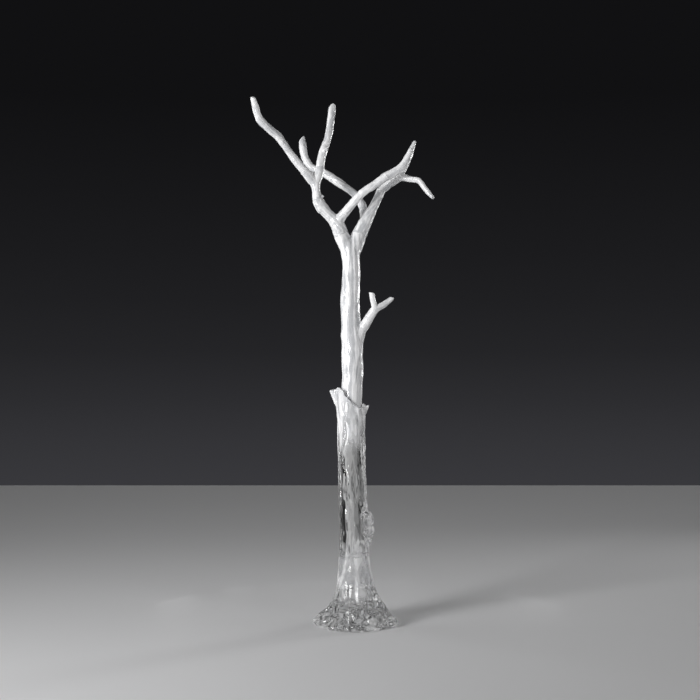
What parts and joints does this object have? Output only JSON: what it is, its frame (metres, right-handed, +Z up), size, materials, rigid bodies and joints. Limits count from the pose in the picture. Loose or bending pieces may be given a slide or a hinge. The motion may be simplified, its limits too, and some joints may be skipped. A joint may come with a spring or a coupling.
{
  "type": "clear resin tree sculpture",
  "caption": "Tall bare tree sculpture in clear cast resin, on a spreading root flare, with forked milky branches and an upper tree that lifts out of a collar.",
  "frame": {"origin": "centre of the flat underside of the root flare, on the floor", "axes": "+Z up along the trunk; -Y is the front, with the far left branch towards -X"},
  "size_m": [0.616, 0.3189, 1.7791],
  "materials": {
    "clear_resin": "clear polished casting with flowing bark ridges",
    "milky_resin": "milky translucent casting, softly glossy",
    "clear_silicone": "soft satin"
  },
  "bodies": {
    "base": {"root_flare": "clear_resin", "lower_trunk": "clear_resin", "seat_ring": "clear_silicone"},
    "upper_tree": {"upper_trunk": "milky_resin", "side_twig": "milky_resin", "left_limb": "milky_resin", "left_crotch": "milky_resin", "far_left_branch": "milky_resin", "upright_branch": "milky_resin", "front_branch": "milky_resin", "front_branch_tip": "milky_resin", "right_limb": "milky_resin", "right_crotch": "milky_resin", "right_twig": "milky_resin", "back_branch": "milky_resin", "back_branch_tip": "milky_resin", "left_limb_dowel": "clear_resin", "right_limb_dowel": "clear_resin", "side_twig_dowel": "clear_resin", "left_crotch_dowel": "clear_resin", "far_left_dowel": "clear_resin", "upright_dowel": "clear_resin", "front_branch_dowel": "clear_resin", "front_tip_dowel": "clear_resin", "right_crotch_dowel": "clear_resin", "right_twig_dowel": "clear_resin", "back_branch_dowel": "clear_resin", "back_tip_dowel": "clear_resin"}
  },
  "joints": [
    {"name": "lift_out", "type": "slide", "parent": "base", "child": "upper_tree", "axis": [0, 0, 1], "range_m": [0, 0.2]}
  ]
}
